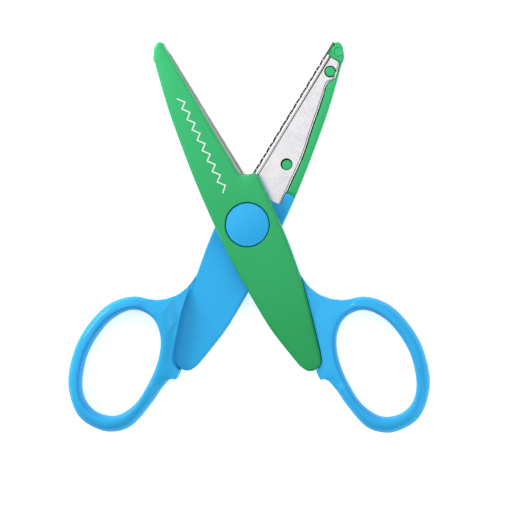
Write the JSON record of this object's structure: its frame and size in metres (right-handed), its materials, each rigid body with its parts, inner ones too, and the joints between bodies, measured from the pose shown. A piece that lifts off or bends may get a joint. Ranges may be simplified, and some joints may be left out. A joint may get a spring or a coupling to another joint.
{
  "type": "decorative edge scissors",
  "caption": "Open paper-craft scissors with plastic blade covers, finger loops and steel blades whose toothed edges cut a zigzag line.",
  "frame": {"origin": "centre of the flat middle of the rear pivot cap, on the pivot axis and on the surface the scissors lie on", "axes": "+Y towards the tips along the bisector of the open blades, +Z along the pivot axis towards the front half, +X completes the right-handed set, towards the front half's finger loop"},
  "size_m": [0.1088, 0.1171, 0.0098],
  "materials": {
    "green_plastic": "satin moulded",
    "blue_plastic": "satin moulded",
    "blade_steel": "fine ground",
    "nylon": "natural moulded"
  },
  "bodies": {
    "rear_half": {"rear_shell": "green_plastic", "rear_handle": "blue_plastic", "rear_blade": "blade_steel", "rear_pivot_cap": "blue_plastic", "pivot_rivet": "blade_steel", "rivet_washer": "blade_steel", "thrust_washer": "nylon"},
    "front_half": {"front_shell": "green_plastic", "front_handle": "blue_plastic", "front_blade": "blade_steel", "front_pivot_cap": "blue_plastic"}
  },
  "joints": [
    {"name": "pivot_hinge", "type": "hinge", "parent": "rear_half", "child": "front_half", "pos_m": [0, 0, 0.0049], "axis": [0, 0, 1], "range_deg": [-50, 15]}
  ]
}
